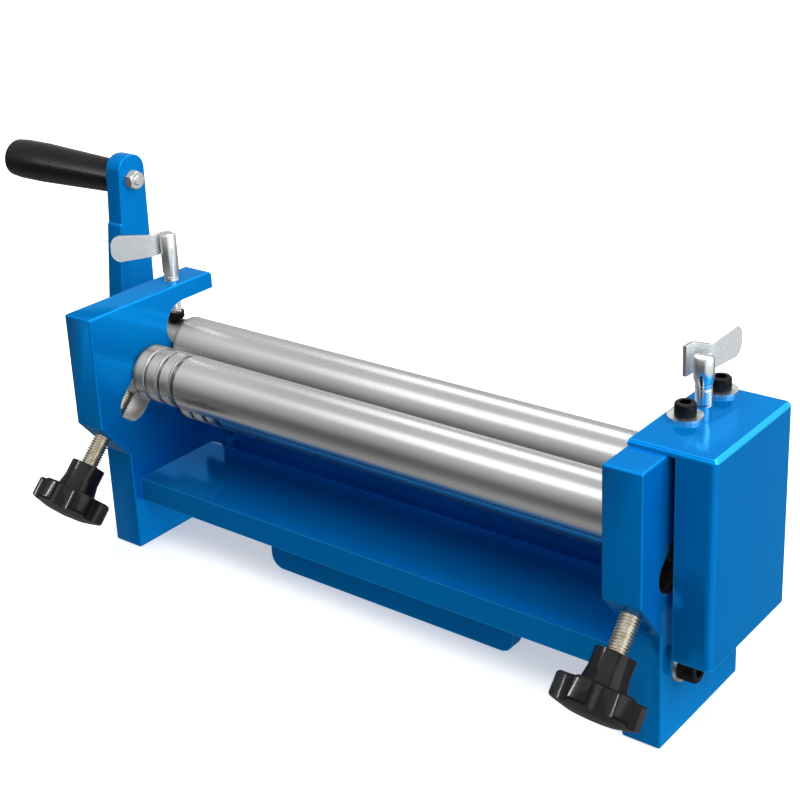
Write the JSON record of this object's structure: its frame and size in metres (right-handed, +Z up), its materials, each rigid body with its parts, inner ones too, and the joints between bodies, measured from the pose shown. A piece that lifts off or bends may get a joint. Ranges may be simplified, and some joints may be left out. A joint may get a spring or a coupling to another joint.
{
  "type": "slip roll machine",
  "caption": "Hand-cranked bench slip roll machine: grooved rollers between thick side frames, with star-knob adjusters, clamp levers, a gear cover and a rear feed table.",
  "frame": {"origin": "on the floor, at the middle of the centre foot's lower edge", "axes": "+X along the rollers from the crank end towards the gear end, +Y from the bending roller to the feed table at the rear, +Z up"},
  "size_m": [0.5082, 0.1575, 0.2148],
  "materials": {
    "blue_paint": "gloss enamel over steel plate",
    "ground_steel": "fine ground",
    "bright_steel": "turned and polished",
    "gear_steel": "milled, oiled",
    "chrome_plate": "polished",
    "zinc_plate": "zinc plated",
    "black_oxide": "black oxide",
    "black_plastic": "glossy moulded"
  },
  "bodies": {
    "base": {"crank_side_frame": "blue_paint", "gear_side_frame": "blue_paint", "tie_bar": "blue_paint", "centre_foot": "blue_paint", "feed_table": "blue_paint", "gear_cover": "blue_paint", "tie_bolt_crank_front": "black_oxide", "tie_bolt_crank_rear": "black_oxide", "tie_bolt_gear_front": "black_oxide", "tie_bolt_gear_rear": "black_oxide", "tie_washer_crank_front": "zinc_plate", "tie_washer_crank_rear": "zinc_plate", "tie_washer_gear_front": "zinc_plate", "tie_washer_gear_rear": "zinc_plate", "table_screw_crank": "black_oxide", "table_screw_gear": "black_oxide", "cover_screw_front": "black_oxide", "cover_screw_rear": "black_oxide", "cover_washer_front": "zinc_plate", "cover_washer_rear": "zinc_plate", "drive_bush_crank": "bright_steel", "drive_bush_gear": "bright_steel"},
    "drive": {"drive_roller": "ground_steel", "drive_gear": "gear_steel", "drive_gear_key": "gear_steel", "drive_gear_washer": "zinc_plate", "drive_gear_screw": "black_oxide", "crank_arm": "blue_paint", "crank_key": "gear_steel", "crank_washer": "chrome_plate", "crank_screw": "black_oxide", "grip_bolt": "chrome_plate", "grip_nut": "chrome_plate"},
    "grip": {"grip": "black_plastic"},
    "upper_bearings": {"upper_bush_crank": "bright_steel", "upper_bush_gear": "bright_steel"},
    "upper": {"upper_roller": "ground_steel", "upper_gear": "gear_steel", "upper_gear_key": "gear_steel", "upper_gear_washer": "zinc_plate", "upper_gear_screw": "black_oxide"},
    "bending_blocks": {"bearing_block_crank": "bright_steel", "bearing_block_gear": "bright_steel"},
    "bending": {"bending_roller": "ground_steel"},
    "adjuster_crank": {"adjusting_screw_crank": "zinc_plate", "star_knob_crank": "black_plastic"},
    "clamp_pad_crank": {"clamp_pad_crank": "bright_steel"},
    "clamp_lever_crank": {"clamp_screw_crank": "zinc_plate", "clamp_handle_crank": "chrome_plate"},
    "adjuster_gear": {"adjusting_screw_gear": "zinc_plate", "star_knob_gear": "black_plastic"},
    "clamp_pad_gear": {"clamp_pad_gear": "bright_steel"},
    "clamp_lever_gear": {"clamp_screw_gear": "zinc_plate", "clamp_handle_gear": "chrome_plate"}
  },
  "joints": [
    {"name": "drive_spin", "type": "hinge", "parent": "base", "child": "drive", "pos_m": [0, 0.0225, 0.0785], "axis": [1, 0, 0], "continuous": true},
    {"name": "grip_spin", "type": "hinge", "parent": "drive", "child": "grip", "pos_m": [-0.26, 0.02995, 0.20027], "axis": [1, 0, 0], "continuous": true},
    {"name": "upper_lift", "type": "slide", "parent": "base", "child": "upper_bearings", "axis": [0, 0, 1], "range_m": [0, 0.0006]},
    {"name": "upper_spin", "type": "hinge", "parent": "upper_bearings", "child": "upper", "pos_m": [0, 0.0225, 0.11], "axis": [1, 0, 0], "continuous": true},
    {"name": "bending_slide", "type": "slide", "parent": "base", "child": "bending_blocks", "axis": [0, 0.7071, 0.7071], "range_m": [-0.012, 0.0015]},
    {"name": "bending_spin", "type": "hinge", "parent": "bending_blocks", "child": "bending", "pos_m": [0, -0.00949, 0.10349], "axis": [1, 0, 0], "continuous": true},
    {"name": "adjuster_turn_crank", "type": "hinge", "parent": "bending_blocks", "child": "adjuster_crank", "pos_m": [-0.17, -0.00949, 0.10349], "axis": [0, 0.7071, 0.7071], "range_deg": [-2880, 360]},
    {"name": "clamp_pad_lift_crank", "type": "slide", "parent": "base", "child": "clamp_pad_crank", "axis": [0, 0, 1], "range_m": [0, 0.00625]},
    {"name": "clamp_turn_crank", "type": "hinge", "parent": "clamp_pad_crank", "child": "clamp_lever_crank", "pos_m": [-0.17, 0.0225, 0.127], "axis": [0, 0, 1], "range_deg": [0, 1800]},
    {"name": "adjuster_turn_gear", "type": "hinge", "parent": "bending_blocks", "child": "adjuster_gear", "pos_m": [0.17, -0.00949, 0.10349], "axis": [0, 0.7071, 0.7071], "range_deg": [-2880, 360]},
    {"name": "clamp_pad_lift_gear", "type": "slide", "parent": "base", "child": "clamp_pad_gear", "axis": [0, 0, 1], "range_m": [0, 0.00625]},
    {"name": "clamp_turn_gear", "type": "hinge", "parent": "clamp_pad_gear", "child": "clamp_lever_gear", "pos_m": [0.17, 0.0225, 0.127], "axis": [0, 0, 1], "range_deg": [0, 1800]}
  ],
  "couplings": [
    {"joint": "upper_spin", "follows": "drive_spin", "ratio": -1},
    {"joint": "adjuster_turn_crank", "follows": "bending_slide", "rad_per_m": 4188.8},
    {"joint": "adjuster_turn_gear", "follows": "bending_slide", "rad_per_m": 4188.8},
    {"joint": "clamp_turn_crank", "follows": "clamp_pad_lift_crank", "rad_per_m": 5026.5},
    {"joint": "clamp_turn_gear", "follows": "clamp_pad_lift_gear", "rad_per_m": 5026.5}
  ]
}
